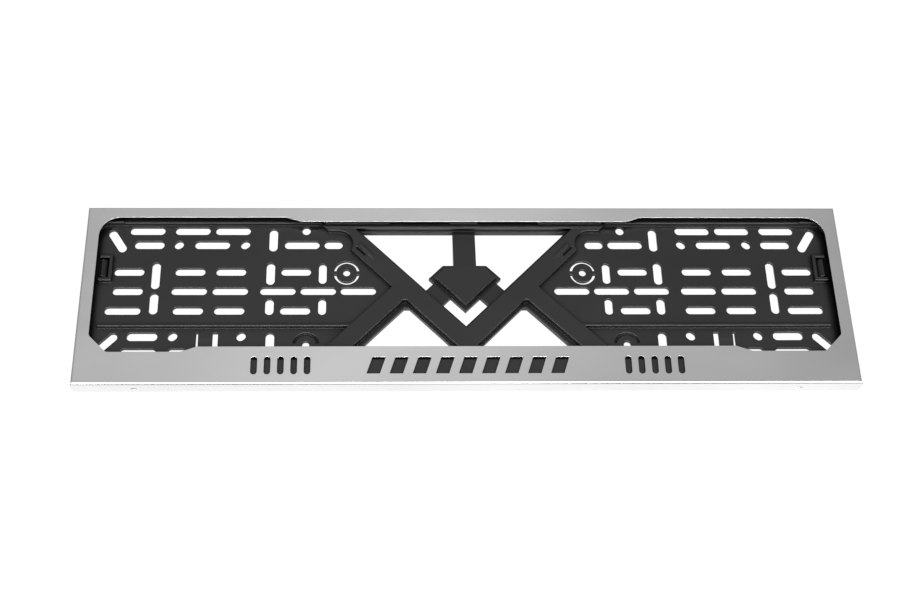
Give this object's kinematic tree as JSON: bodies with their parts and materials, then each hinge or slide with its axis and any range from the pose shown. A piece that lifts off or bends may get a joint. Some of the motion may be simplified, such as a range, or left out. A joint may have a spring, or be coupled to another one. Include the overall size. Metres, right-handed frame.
{
  "type": "number plate holder",
  "caption": "Car number plate holder: a folded stainless cover frame with a wide window, snapped over a black moulded base plate pierced with screw slots.",
  "frame": {"origin": "middle of the back, on the surface that the holder lies on", "axes": "+X along the width, +Y up the number plate, +Z out of the face"},
  "size_m": [0.5352, 0.1366, 0.0125],
  "materials": {
    "stainless_steel": "polished",
    "black_plastic": "semi-matte"
  },
  "bodies": {
    "root": {"cover_frame": "stainless_steel", "base_plate": "black_plastic"}
  },
  "joints": []
}
